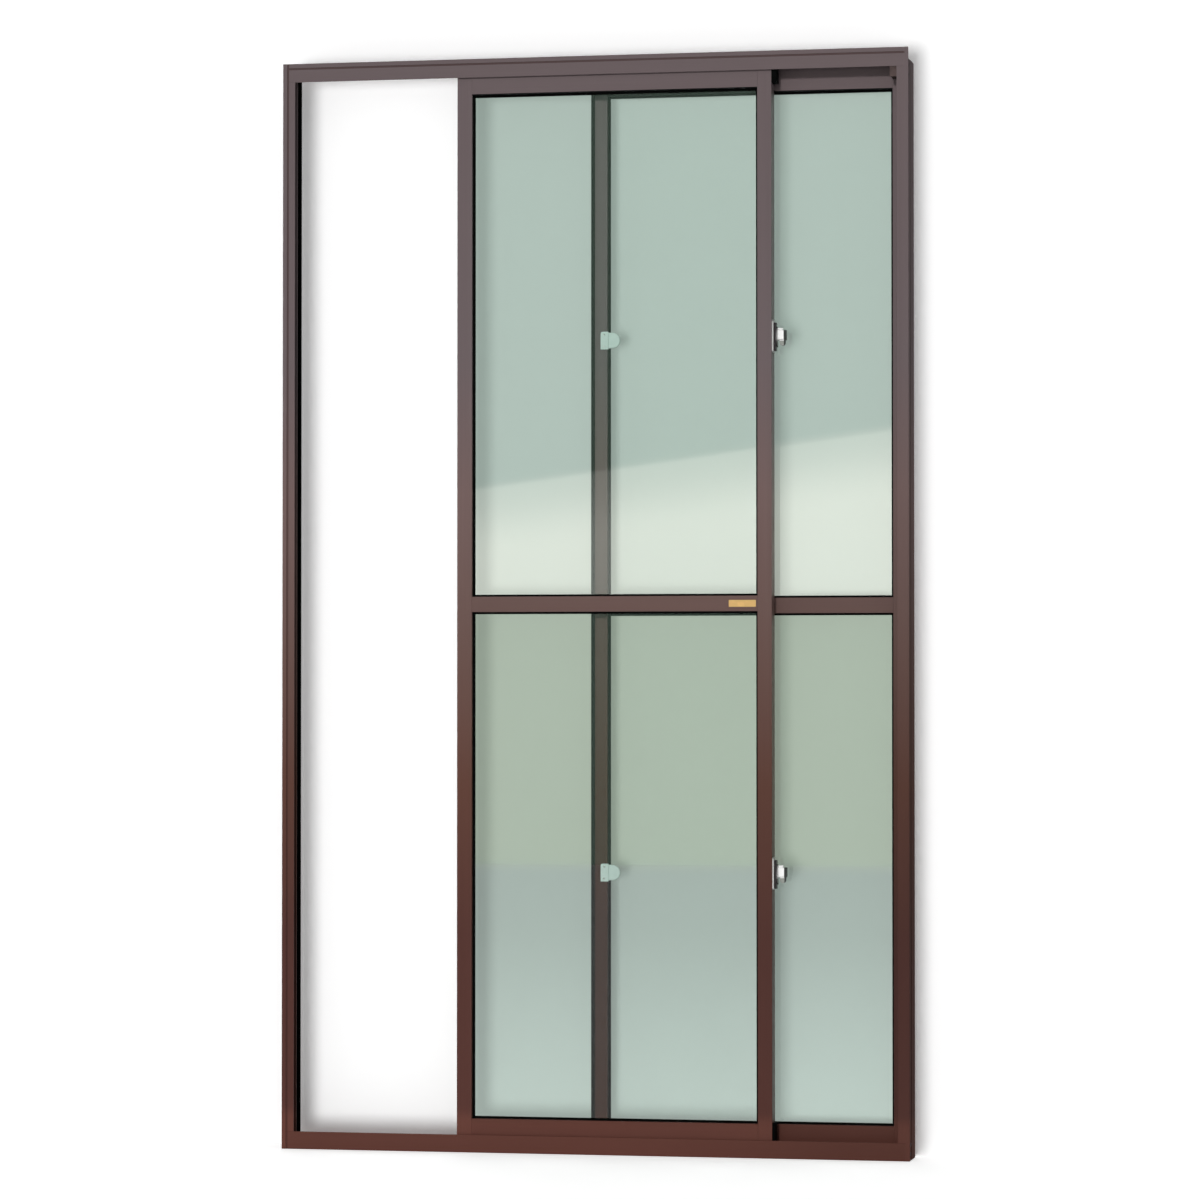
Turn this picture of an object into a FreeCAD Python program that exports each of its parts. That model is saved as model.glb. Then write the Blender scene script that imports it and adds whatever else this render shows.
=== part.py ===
import FreeCAD
import Part
import math
import os

from FreeCAD import Vector

# Two-leaf sliding patio door in bronze anodised aluminium, seen from the room along +Y.
# Millimetres. X runs along the wall, Y away from the room, Z up from the underside of the sill.

# Whole frame
frame_width = 1220.0
frame_height = 2100.0
frame_wall = 2.0
frame_edge_radius = 0.6

# Leaves and the room they run in
leaf_depth = 28.0
leaf_wall = 1.6
leaf_edge_radius = 0.8
leaf_clearance = 5.0
leaf_gap = 12.0
leaf_head_room = 6.0
standing_open = 329.0

# Head
head_face = 36.0
head_upstand = 6.0
head_guide_rise = 6.5
head_rear_rise = 12.0
head_cope = 8.5
trim_lip = 8.0
trim_groove = 4.0
trim_groove_depth = 1.2

# Sill
sill_face = 34.0
sill_guide_height = 29.5
sill_rear_height = 25.5
track_height = 15.5
track_width = 3.0
track_crown_radius = 1.4
track_step = 3.5
drain_slot_length = 30.0
drain_slot_height = 5.0
drain_slot_from_centre = 350.0

# Jambs
jamb_drop = 21.0
jamb_face_left = 24.0
jamb_face_right = 22.5
jamb_guide = 18.5
jamb_rear_leg_left = 8.0
jamb_rear_leg_right = 15.5
jamb_lip_right = 7.0
jamb_key_from_front = 2.0
jamb_key_width = 28.0
jamb_key_depth = 0.8
fixing_hole_radius = 2.75
fixing_from_ends = (250.0, 750.0)

# Rubber pieces of the frame
seal_width = 8.0
bumper_thickness = 9.5
bumper_width = 14.0
bumper_chamfer = 3.0
bumper_above_track = 5.0
stop_length = 33.5
stop_height = 34.0
stop_chamfer = 2.0

# Leaf members
jamb_stile_face = 29.0
meeting_stile_face = 27.5
rear_meeting_stile_face = 31.5
top_rail_face = 55.0
middle_rail_face = 29.5
middle_rail_height = 1050.0
bottom_rail_face = 54.0
track_slot_width = 13.0
track_slot_clearance = 5.0

# Black guides on the ends of the front leaf's meeting stile
guide_cap_chamfer = 1.5
head_cap_reach = 10.0
head_cap_height = 46.0
sill_cap_reach = 5.5
sill_cap_bottom = 21.0
sill_cap_height = 46.0

# Glazing
pocket_width = 12.0
pocket_depth = 11.0
rail_pocket_depth = 9.0
glass_thickness = 5.0
glass_bite = 7.0
gasket_show = 4.0
gasket_slope = 2.6

# Wheels and their carriers in the bottom rails
roller_radius = 11.0
roller_width = 7.0
roller_inset = 90.0
roller_groove_depth = 1.6
roller_groove_side_gap = 0.6
roller_groove_flank = 0.4
roller_running_gap = 0.3
axle_radius = 2.5
axle_gap = 0.1
carrier_length = 40.0
carrier_cheek = 2.0
carrier_side_gap = 0.2
carrier_below_axle = 7.0

# Meeting of the leaves
interlock_depth = 7.0
interlock_base = 12.0
interlock_thickness = 1.6
interlock_end_gap = 5.0
interlock_keeper_room = 7.0
pile_base_width = 7.3
pile_base_thickness = 1.5
pile_width = 4.5
pile_height = 5.5

# Crescent latches on the edge of the front leaf
lower_latch_height = 536.0
upper_latch_from_top = 543.5
latch_plate_height = 62.0
latch_plate_width = 22.0
latch_plate_thickness = 3.0
latch_plate_corner = 4.0
latch_plate_raise = 2.0
latch_body_height = 54.0
latch_body_width = 18.0
latch_body_thickness = 4.3
latch_body_corner = 3.0
latch_pivot_from_rear = 10.0
latch_running_gap = 0.3
crescent_radius = 19.5
crescent_thickness = 2.6
crescent_hub_radius = 8.0
lever_width = 15.5
lever_sweep_radius = 17.2
lever_half_depth = 8.0
lever_above = 13.0
lever_below = 5.5
lever_corner = 2.5
fin_gap = 1.6
fin_height = 2.4
fin_length = 12.0
fin_half_depth = 3.5
fin_neck_half_depth = 2.0
tab_width = 11.0
tab_reach = 16.5
tab_half_depth = 4.0
tab_end_gap = 1.6
tab_end_radius = 5.4

# Keepers on the rear leaf
keeper_height = 34.0
keeper_from_edge = 19.0
keeper_length = 38.0
keeper_raise = 4.0
keeper_chamfer = 4.0
keeper_slot_clearance = 1.2
keeper_slot_floor = 1.5
keeper_slot_end = 2.0
keeper_hood_inset = 2.5
keeper_hood_bevel = 1.0

# Bare plate on the middle rail
plate_length = 52.0
plate_height = 13.0
plate_thickness = 0.8
plate_corner = 1.0
plate_from_stile = 3.0

# Places that follow from the sizes above
half_width = frame_width / 2
frame_depth = 2 * frame_wall + 2 * leaf_clearance + 2 * leaf_depth + leaf_gap
room_face = -frame_depth / 2
rear_face = frame_depth / 2
guide_half = frame_wall / 2
leaf_centre = leaf_gap / 2 + leaf_depth / 2
web_top = frame_height - head_upstand
web_under = web_top - frame_wall
head_bottom = frame_height - head_face
guide_bottom = head_bottom + head_guide_rise
rear_leg_bottom = head_bottom + head_rear_rise
jamb_top = frame_height - jamb_drop

clear_width = frame_width - 2 * frame_wall
leaf_width = (clear_width - bumper_thickness - 2 * leaf_clearance + meeting_stile_face) / 2
rear_leaf_left = half_width - frame_wall - leaf_clearance - leaf_width
front_leaf_left = -half_width + frame_wall + bumper_thickness + leaf_clearance + standing_open
leaf_top = web_under - leaf_head_room
leaf_bottom = frame_wall + leaf_clearance + track_step
rear_track_height = track_height - track_step

meeting_edge = front_leaf_left + leaf_width
closed_meeting_edge = meeting_edge - standing_open
front_leaf_back = -leaf_gap / 2
rear_leaf_front = leaf_gap / 2
latch_pivot_y = front_leaf_back - latch_pivot_from_rear
latch_heights = {"lower": lower_latch_height, "upper": frame_height - upper_latch_from_top}
crescent_from_edge = latch_plate_thickness + latch_body_thickness + latch_running_gap
lever_from_edge = crescent_from_edge + crescent_thickness
overshoot = 1.0
same_place = 0.01


# Shapes

def box(x0, x1, y0, y1, z0, z1):
    return Part.makeBox(x1 - x0, y1 - y0, z1 - z0, Vector(x0, y0, z0))


def cylinder_x(x0, x1, y, z, radius):
    return Part.makeCylinder(radius, x1 - x0, Vector(x0, y, z), Vector(1, 0, 0))


def cylinder_y(y0, y1, x, z, radius):
    return Part.makeCylinder(radius, y1 - y0, Vector(x, y0, z), Vector(0, 1, 0))


def rounded_face(corners):
    """Flat face whose corners are (point, radius) pairs; a radius of 0 leaves the corner sharp."""
    runs = []
    for index, (point, radius) in enumerate(corners):
        before = (corners[index - 1][0] - point).normalize()
        after = (corners[(index + 1) % len(corners)][0] - point).normalize()
        if radius == 0:
            runs.append((point, point, None))
            continue
        half_angle = before.getAngle(after) / 2
        reach = radius / math.tan(half_angle)
        bisector = (before + after).normalize()
        middle = point + bisector * (radius / math.sin(half_angle) - radius)
        runs.append((point + before * reach, point + after * reach, middle))
    edges = []
    for index, (start, end, middle) in enumerate(runs):
        if middle is not None:
            edges.append(Part.Arc(start, middle, end).toShape())
        following = runs[(index + 1) % len(runs)][0]
        edges.append(Part.makeLine(end, following))
    return Part.Face(Part.Wire(edges))


def corner(point, radii):
    return point, radii[0] if radii else 0


def along_x(outline, x0, x1):
    """Extrusion of (y, z) or (y, z, radius) corners."""
    corners = [corner(Vector(x0, y, z), radii) for y, z, *radii in outline]
    return rounded_face(corners).extrude(Vector(x1 - x0, 0, 0))


def along_y(outline, y0, y1):
    """Extrusion of (x, z) or (x, z, radius) corners."""
    corners = [corner(Vector(x, y0, z), radii) for x, z, *radii in outline]
    return rounded_face(corners).extrude(Vector(0, y1 - y0, 0))


def along_z(outline, z0, z1):
    """Extrusion of (x, y) or (x, y, radius) corners."""
    corners = [corner(Vector(x, y, z0), radii) for x, y, *radii in outline]
    return rounded_face(corners).extrude(Vector(0, 0, z1 - z0))


def rectangle(u0, u1, v0, v1, radius=0):
    return [(u0, v0, radius), (u1, v0, radius), (u1, v1, radius), (u0, v1, radius)]


def mirrored(outline):
    """The corners, then their mirror image across the second axis."""
    return outline + [(u, -v, *radii) for u, v, *radii in reversed(outline)]


# Frame members

def leg_outline(side_a, side_b, web, end, radius):
    """The four corners of a leg that stands on a web, from side_b round its tip to side_a."""
    return [(side_b, web), (side_b, end, radius), (side_a, end, radius), (side_a, web)]


def frame_legs(front, guide, rear):
    """Room side flange, guide between the leaves and rear leg, each up to its own end."""
    return [
        (room_face, room_face + frame_wall, front),
        (-guide_half, guide_half, guide),
        (rear_face - frame_wall, rear_face, rear),
    ]


def cut_frame_legs(body, z0, z1):
    """Cuts the guide and rear legs away where the jambs' own legs stand."""
    inside = half_width - frame_wall
    guide = (-guide_half, guide_half)
    rear = (rear_face - frame_wall, rear_face)
    for y_range, left, right in (
        (guide, jamb_guide, jamb_guide),
        (rear, jamb_rear_leg_left + seal_width, jamb_rear_leg_right),
    ):
        body = body.cut(box(-inside, -half_width + left, *y_range, z0, z1))
        body = body.cut(box(half_width - right, inside, *y_range, z0, z1))
    return body


def cut_flange_ends(body, z0, z1):
    """Cuts the room side flange away where the jambs' lips cover the corners."""
    inside = half_width - frame_wall
    left_end = -half_width + trim_lip + trim_groove
    right_end = half_width - jamb_lip_right
    for x0, x1 in ((-inside, left_end), (right_end, inside)):
        body = body.cut(box(x0, x1, room_face, room_face + frame_wall, z0, z1))
    return body


def cope_ends(body):
    """Cuts the head back over the jambs' tops, behind its room side flange."""
    inside = half_width - frame_wall
    behind_flange = (room_face + frame_wall, rear_face)
    for side in (-1, 1):
        span = sorted((side * inside, side * (inside - head_cope)))
        body = body.cut(box(*span, *behind_flange, jamb_top, frame_height))
    return body


def frame_head():
    """Channel for both leaves; its inner legs end higher than the flange, so they don't show."""
    inside = half_width - frame_wall
    groove_top = frame_height - trim_lip
    groove_floor = room_face + trim_groove_depth
    tip = frame_edge_radius
    front, guide, rear = frame_legs(head_bottom, guide_bottom, rear_leg_bottom)
    outline = [
        (room_face, frame_height, tip),
        (room_face + frame_wall, frame_height, tip),
        (room_face + frame_wall, web_top),
        (rear_face, web_top, tip),
        *leg_outline(rear[0], rear[1], web_under, rear[2], tip)[1:],
        *leg_outline(guide[0], guide[1], web_under, guide[2], tip),
        *leg_outline(front[0], front[1], web_under, front[2], tip)[:3],
        (room_face, groove_top - trim_groove),
        (groove_floor, groove_top - trim_groove),
        (groove_floor, groove_top),
        (room_face, groove_top),
    ]
    body = along_x(outline, -inside, inside)
    body = cut_flange_ends(body, head_bottom - overshoot, frame_height + overshoot)
    return cope_ends(cut_frame_legs(body, guide_bottom - overshoot, jamb_top))


def frame_sill():
    inside = half_width - frame_wall
    tip = frame_edge_radius
    front, guide, rear = frame_legs(sill_face, sill_guide_height, sill_rear_height)
    outline = [(room_face, 0.0, tip), (rear_face, 0.0, tip)]
    outline += leg_outline(rear[0], rear[1], frame_wall, rear[2], tip)[1:]
    for middle, top in ((leaf_centre, rear_track_height), (-leaf_centre, track_height)):
        if middle < 0:
            outline += leg_outline(guide[0], guide[1], frame_wall, guide[2], tip)
        sides = (middle - track_width / 2, middle + track_width / 2)
        outline += leg_outline(*sides, frame_wall, top, track_crown_radius)
    outline += leg_outline(front[0], front[1], frame_wall, front[2], tip)[:3]
    body = along_x(outline, -inside, inside)
    for side in (-1, 1):
        x = side * drain_slot_from_centre
        slot = (x - drain_slot_length / 2, x + drain_slot_length / 2)
        slot_top = frame_wall + drain_slot_height
        body = body.cut(box(*slot, -guide_half, rear_face, frame_wall, slot_top))
    body = cut_flange_ends(body, -overshoot, sill_face + overshoot)
    return cut_frame_legs(body, frame_wall, sill_guide_height + overshoot)


def frame_jamb(side):
    """side is -1 for the left jamb and 1 for the right one."""
    if side < 0:
        face, lip, rear_leg = jamb_face_left, trim_lip + trim_groove, jamb_rear_leg_left
    else:
        face, lip, rear_leg = jamb_face_right, jamb_lip_right, jamb_rear_leg_right
    tip = frame_edge_radius
    back = half_width
    web = half_width - frame_wall
    key_front = room_face + jamb_key_from_front
    key_rear = key_front + jamb_key_width
    key_floor = back - jamb_key_depth
    ends = [half_width - reach for reach in (face, jamb_guide, rear_leg)]
    front, guide, rear = frame_legs(*ends)
    section = [
        (room_face, back, tip), (key_front, back), (key_front, key_floor),
        (key_rear, key_floor), (key_rear, back), (rear_face, back, tip),
    ]
    section += leg_outline(rear[0], rear[1], web, rear[2], tip)[1:]
    section += leg_outline(guide[0], guide[1], web, guide[2], tip)
    section += leg_outline(front[0], front[1], web, front[2], tip)[:3]
    if side < 0:
        groove = half_width - trim_lip
        floor = room_face + trim_groove_depth
        section += [(room_face, groove - trim_groove), (floor, groove - trim_groove),
                    (floor, groove), (room_face, groove)]
    body = along_z([(side * x, y, *radii) for y, x, *radii in section], 0.0, frame_height)
    flange = (room_face, room_face + frame_wall)
    behind_flange = (flange[1], rear_face)
    beyond_lip = sorted((side * (half_width - lip), side * (ends[0] - overshoot)))
    inner = sorted((side * web, side * (ends[0] - overshoot)))
    whole = sorted((side * back, side * (ends[0] - overshoot)))
    for z0, z1 in ((-overshoot, sill_face), (head_bottom, frame_height + overshoot)):
        body = body.cut(box(*beyond_lip, *flange, z0, z1))
    body = body.cut(box(*inner, *behind_flange, -overshoot, frame_wall))
    body = body.cut(box(*whole, *behind_flange, jamb_top, frame_height + overshoot))
    for from_end in fixing_from_ends:
        for z in (from_end, frame_height - from_end):
            span = sorted((side * web, side * back))
            body = body.cut(cylinder_x(*span, leaf_centre, z, fixing_hole_radius))
    return body


def left_jamb_seal():
    x0 = -half_width + jamb_rear_leg_left
    return box(x0, x0 + seal_width, rear_face - frame_wall, rear_face, frame_wall, jamb_top)


def left_jamb_bumper():
    """Rubber strip that the front leaf closes against."""
    x0 = -half_width + frame_wall
    x1 = x0 + bumper_thickness
    flat_half = bumper_width / 2 - bumper_chamfer
    half_section = [(x0, bumper_width / 2), (x1 - bumper_chamfer, bumper_width / 2), (x1, flat_half)]
    outline = [(x, y - leaf_centre) for x, y in mirrored(half_section)]
    return along_z(outline, track_height + bumper_above_track, jamb_top)


def right_stop_block():
    """Rubber block at the open end of the head, which the front leaf would meet."""
    x1 = half_width - frame_wall
    x0 = x1 - stop_length
    y0 = room_face + frame_wall
    bottom = jamb_top - stop_height
    outline = [(x0, bottom, stop_chamfer), (x1, bottom), (x1, jamb_top), (x0, jamb_top)]
    return along_y(outline, y0, -guide_half)


# Leaf members

def stile_section(width):
    """Outer outline and chamber of a stile or rail: (in from the outer edge, across) corners."""
    half = leaf_depth / 2
    lip = pocket_width / 2
    floor = width - pocket_depth
    wall = leaf_wall
    outer = [(0, half, leaf_edge_radius), (width, half, leaf_edge_radius), (width, lip), (floor, lip)]
    chamber = [(wall, half - wall), (width - wall, half - wall), (width - wall, lip + wall),
               (floor - wall, lip + wall)]
    return mirrored(outer), mirrored(chamber)


def place_upright(section, edge_x, inward, centre_y):
    return [(edge_x + inward * u, centre_y + v, *radii) for u, v, *radii in section]


def place_level(section, edge_z, inward, centre_y):
    return [(centre_y + v, edge_z + inward * u, *radii) for u, v, *radii in section]


def stile(edge_x, inward, width, centre_y, bottom, top, track_top):
    """Hollow upright, slotted at the foot where it stands over its track."""
    outer, chamber = stile_section(width)
    body = along_z(place_upright(outer, edge_x, inward, centre_y), bottom, top)
    hollow = place_upright(chamber, edge_x, inward, centre_y)
    body = body.cut(along_z(hollow, bottom - overshoot, top + overshoot))
    slot_x = sorted((edge_x - inward * overshoot, edge_x + inward * (width + overshoot)))
    slot_y = (centre_y - track_slot_width / 2, centre_y + track_slot_width / 2)
    return body.cut(box(*slot_x, *slot_y, bottom - overshoot, track_top + track_slot_clearance))


def top_rail(x0, x1, centre_y, top):
    outer, chamber = stile_section(top_rail_face)
    body = along_x(place_level(outer, top, -1, centre_y), x0, x1)
    hollow = place_level(chamber, top, -1, centre_y)
    return body.cut(along_x(hollow, x0 - overshoot, x1 + overshoot))


def bottom_rail(x0, x1, centre_y, bottom):
    """Glazing pocket above and an open channel for the wheels below."""
    half = leaf_depth / 2
    lip = pocket_width / 2
    wall = leaf_wall
    height = bottom_rail_face
    floor = height - pocket_depth
    outer = [(0, half), (height, half, leaf_edge_radius), (height, lip), (floor, lip)]
    inner = [(0, wall - half), (height - wall, wall - half), (height - wall, -lip - wall),
             (floor - wall, -lip - wall)]
    section = mirrored(outer) + mirrored(inner)
    return along_x(place_level(section, bottom, 1, centre_y), x0, x1)


def two_pocket_outline(reach, half, lip, depth, radius=0):
    """Bar outline with the same pocket above and below."""
    upper = mirrored([(reach, half, radius), (reach, lip), (depth, lip)])
    return upper + [(-u, v, *radii) for u, v, *radii in reversed(upper)]


def middle_rail(x0, x1, centre_y, middle):
    """Hollow bar with a glazing pocket above and below."""
    half = leaf_depth / 2
    lip = pocket_width / 2
    reach = middle_rail_face / 2
    floor = reach - rail_pocket_depth
    wall = leaf_wall
    outer = two_pocket_outline(reach, half, lip, floor, leaf_edge_radius)
    chamber = two_pocket_outline(reach - wall, half - wall, lip + wall, floor - wall)
    body = along_x(place_level(outer, middle, 1, centre_y), x0, x1)
    hollow = place_level(chamber, middle, 1, centre_y)
    return body.cut(along_x(hollow, x0 - overshoot, x1 + overshoot))


# Glazing

def pane(x0, x1, z0, z1, centre_y):
    half = glass_thickness / 2
    bite = glass_bite
    return box(x0 - bite, x1 + bite, centre_y - half, centre_y + half, z0 - bite, z1 + bite)


def gasket(x0, x1, z0, z1, centre_y):
    """Wedge gaskets on both sides of the glass, sloped towards it all round the sight line."""
    solids = []
    for side in (-1, 1):
        inner_y = centre_y + side * glass_thickness / 2
        outer_y = centre_y + side * pocket_width / 2
        y0, y1 = sorted((inner_y, outer_y))
        whole = box(x0 - glass_bite, x1 + glass_bite, y0, y1, z0 - glass_bite, z1 + glass_bite)
        window = box(x0 + gasket_show, x1 - gasket_show, y0, y1, z0 + gasket_show, z1 - gasket_show)
        ring = whole.cut(window)
        sight_edges = [
            edge for edge in ring.Edges
            if abs(edge.CenterOfMass.y - outer_y) < same_place
            and x0 < edge.CenterOfMass.x < x1
            and z0 < edge.CenterOfMass.z < z1
        ]
        solids.append(ring.makeChamfer(gasket_slope, sight_edges))
    return Part.makeCompound(solids)


# Wheels

def axle_height(track_top):
    return track_top + roller_running_gap + roller_radius - roller_groove_depth


def roller(x, centre_y, track_top):
    """Grooved wheel on the track, turning on a pin."""
    z = axle_height(track_top)
    bore = axle_radius + axle_gap
    floor_half = track_width / 2 + roller_groove_side_gap
    half_section = [(bore, roller_width / 2), (roller_radius, roller_width / 2),
                    (roller_radius, floor_half + roller_groove_flank),
                    (roller_radius - roller_groove_depth, floor_half)]
    corners = [(Vector(x, centre_y + v, z + r), 0) for r, v in mirrored(half_section)]
    return rounded_face(corners).revolve(Vector(x, centre_y, z), Vector(0, 1, 0), 360)


def roller_carrier(x, centre_y, track_top, rail_under):
    """Folded saddle under the glazing pocket with the wheel's pin across it."""
    z = axle_height(track_top)
    half = leaf_depth / 2 - leaf_wall - carrier_side_gap
    cheek = half - carrier_cheek
    bottom = z - carrier_below_axle
    x0, x1 = x - carrier_length / 2, x + carrier_length / 2
    section = [(centre_y - half, bottom), (centre_y - half, rail_under), (centre_y + half, rail_under),
               (centre_y + half, bottom), (centre_y + cheek, bottom),
               (centre_y + cheek, rail_under - carrier_cheek),
               (centre_y - cheek, rail_under - carrier_cheek), (centre_y - cheek, bottom)]
    pin = cylinder_y(centre_y - half, centre_y + half, x, z, axle_radius)
    return along_x(section, x0, x1).fuse(pin)


# Whole leaf

def leaf(name, left, centre_y, drop, left_stile, right_stile, track_top):
    """All rigid members of one leaf; left_stile and right_stile are (name, face) pairs."""
    right = left + leaf_width
    inner = (left + left_stile[1], right - right_stile[1])
    bottom = leaf_bottom - drop
    top = leaf_top - drop
    middle = middle_rail_height - drop
    rail_top = bottom + bottom_rail_face
    pieces = {}
    for edge, inward, (side, face) in ((left, 1, left_stile), (right, -1, right_stile)):
        upright = stile(edge, inward, face, centre_y, bottom, top, track_top)
        pieces[f"{name}_leaf_{side}_stile"] = upright
    pieces[f"{name}_leaf_top_rail"] = top_rail(*inner, centre_y, top)
    pieces[f"{name}_leaf_middle_rail"] = middle_rail(*inner, centre_y, middle)
    pieces[f"{name}_leaf_bottom_rail"] = bottom_rail(*inner, centre_y, bottom)
    reach = middle_rail_face / 2
    lights = {"upper": (middle + reach, top - top_rail_face), "lower": (rail_top, middle - reach)}
    for label, (z0, z1) in lights.items():
        pieces[f"{name}_leaf_{label}_glass"] = pane(*inner, z0, z1, centre_y)
        pieces[f"{name}_leaf_{label}_gasket"] = gasket(*inner, z0, z1, centre_y)
    under = rail_top - pocket_depth - leaf_wall
    for label, x in (("left", inner[0] + roller_inset), ("right", inner[1] - roller_inset)):
        pieces[f"{name}_leaf_{label}_roller"] = roller(x, centre_y, track_top)
        carrier = roller_carrier(x, centre_y, track_top, under)
        pieces[f"{name}_leaf_{label}_roller_carrier"] = carrier
    return pieces


def guide_cap(reach, z0, z1):
    """Black block on the edge of the front leaf's meeting stile, as deep as the leaf."""
    y0 = front_leaf_back - leaf_depth
    x1 = meeting_edge + reach
    outline = [(meeting_edge, y0), (x1, y0, guide_cap_chamfer), (x1, front_leaf_back, guide_cap_chamfer),
               (meeting_edge, front_leaf_back)]
    return along_z(outline, z0, z1)


# Meeting of the leaves

def meeting_span():
    """Lowest and highest point of what hangs between the leaves, clear of the sill and head guides."""
    return sill_guide_height + interlock_end_gap, guide_bottom - interlock_end_gap


def front_interlock():
    """Angle behind the meeting stile, notched where it passes the keepers."""
    base_left = meeting_edge - interlock_base
    hook_left = meeting_edge - interlock_thickness
    base_rear = front_leaf_back + interlock_thickness
    hook_rear = front_leaf_back + interlock_depth
    outline = [(base_left, front_leaf_back), (meeting_edge, front_leaf_back), (meeting_edge, hook_rear),
               (hook_left, hook_rear), (hook_left, base_rear), (base_left, base_rear)]
    body = along_z(outline, *meeting_span())
    room = keeper_height / 2 + interlock_keeper_room
    for height in latch_heights.values():
        notch = box(hook_left - overshoot, meeting_edge + overshoot, base_rear, hook_rear + overshoot,
                    height - room, height + room)
        body = body.cut(notch)
    return body


def rear_pile():
    """Brush strip along the rear leaf's meeting stile."""
    middle = rear_leaf_left + pile_base_width / 2
    base_front = rear_leaf_front - pile_base_thickness
    tip = base_front - pile_height
    half_section = [(rear_leaf_front, pile_base_width / 2), (base_front, pile_base_width / 2),
                    (base_front, pile_width / 2), (tip, pile_width / 2)]
    outline = [(middle + v, y) for y, v in mirrored(half_section)]
    return along_z(outline, *meeting_span())


# Latches

def latch_plate(height):
    """Screwed plate with the raised body that carries the turning crescent."""
    middle_y = front_leaf_back - leaf_depth / 2
    middle_z = height + latch_plate_raise
    plate = rectangle(middle_y - latch_plate_width / 2, middle_y + latch_plate_width / 2,
                      middle_z - latch_plate_height / 2, middle_z + latch_plate_height / 2,
                      latch_plate_corner)
    raised = rectangle(middle_y - latch_body_width / 2, middle_y + latch_body_width / 2,
                       height - latch_body_height / 2, height + latch_body_height / 2,
                       latch_body_corner)
    x1 = meeting_edge + latch_plate_thickness
    return along_x(plate, meeting_edge, x1).fuse(along_x(raised, x1, x1 + latch_body_thickness))


def crescent_cam(x0, height):
    """Half-round plate with its round side to the room, and the hub it turns on."""
    y = latch_pivot_y
    rim = Part.Arc(Vector(x0, y, height - crescent_radius), Vector(x0, y - crescent_radius, height),
                   Vector(x0, y, height + crescent_radius))
    hub = Part.Arc(Vector(x0, y, height + crescent_hub_radius), Vector(x0, y + crescent_hub_radius, height),
                   Vector(x0, y, height - crescent_hub_radius))
    wire = Part.Wire([
        rim.toShape(),
        Part.makeLine(rim.EndPoint, hub.StartPoint),
        hub.toShape(),
        Part.makeLine(hub.EndPoint, rim.StartPoint),
    ])
    return Part.Face(wire).extrude(Vector(crescent_thickness, 0, 0))


def crescent(height):
    """Cam, thumb lever with its fin above and rounded tab below, all on one hub."""
    y = latch_pivot_y
    x0 = meeting_edge + crescent_from_edge
    x1 = meeting_edge + lever_from_edge
    x2 = x1 + lever_width
    block_top = height + lever_above
    block_bottom = height - lever_below
    block = along_x(rectangle(y - lever_half_depth, y + lever_half_depth, block_bottom, block_top,
                              lever_corner), x1, x2)
    fin_bottom = block_top + fin_gap
    fin = box(x0, x0 + fin_length, y - fin_half_depth, y + fin_half_depth, fin_bottom, fin_bottom + fin_height)
    neck = box(x0, x0 + fin_length - fin_gap, y - fin_neck_half_depth, y + fin_neck_half_depth,
               block_top - lever_corner, fin_bottom)
    tab_right = x2 - tab_end_gap
    tab_left = tab_right - tab_width
    tab_end = height - tab_reach
    tab = along_y([(tab_left, block_bottom + lever_corner), (tab_left, tab_end, tab_end_radius),
                   (tab_right, tab_end, tab_end_radius), (tab_right, block_bottom + lever_corner)],
                  y - tab_half_depth, y + tab_half_depth)
    lever = block.fuse(fin).fuse(neck).fuse(tab)
    lever = lever.common(cylinder_x(x0, x2, y, height, lever_sweep_radius))
    return crescent_cam(x0, height).fuse(lever).removeSplitter()


def keeper(height):
    """Block with a slot for the cam and a half-round hood beyond it."""
    x0 = rear_leaf_left + keeper_from_edge
    end = x0 + keeper_length
    front = rear_leaf_front - keeper_raise
    slot_left = closed_meeting_edge + crescent_from_edge - keeper_slot_clearance
    slot_right = closed_meeting_edge + lever_from_edge + keeper_slot_clearance
    half = keeper_height / 2
    block = along_y([(x0, height - half), (slot_left, height - half), (slot_left, height + half),
                     (x0, height + half, keeper_chamfer)], front, rear_leaf_front)
    floor_half = half - keeper_slot_end
    floor = box(slot_left, slot_right, rear_leaf_front - keeper_slot_floor, rear_leaf_front,
                height - floor_half, height + floor_half)
    hood_half = half - keeper_hood_inset
    top = Vector(slot_right, rear_leaf_front, height + hood_half)
    low = Vector(slot_right, rear_leaf_front, height - hood_half)
    tip = Vector(end, rear_leaf_front, height)
    outline = Part.Wire([Part.Arc(low, tip, top).toShape(), Part.makeLine(top, low)])
    hood = Part.Face(outline).extrude(Vector(0, -keeper_raise, 0))
    rim = [edge for edge in hood.Edges
           if abs(edge.CenterOfMass.y - front) < same_place
           and edge.CenterOfMass.x > slot_right + overshoot]
    hood = hood.makeChamfer(keeper_hood_bevel, rim)
    return block.fuse(floor).fuse(hood).removeSplitter()


def bare_plate():
    right = meeting_edge - meeting_stile_face - plate_from_stile
    face = front_leaf_back - leaf_depth
    bottom = middle_rail_height - plate_height / 2
    outline = rectangle(right - plate_length, right, bottom, bottom + plate_height, plate_corner)
    return along_y(outline, face - plate_thickness, face)


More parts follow.
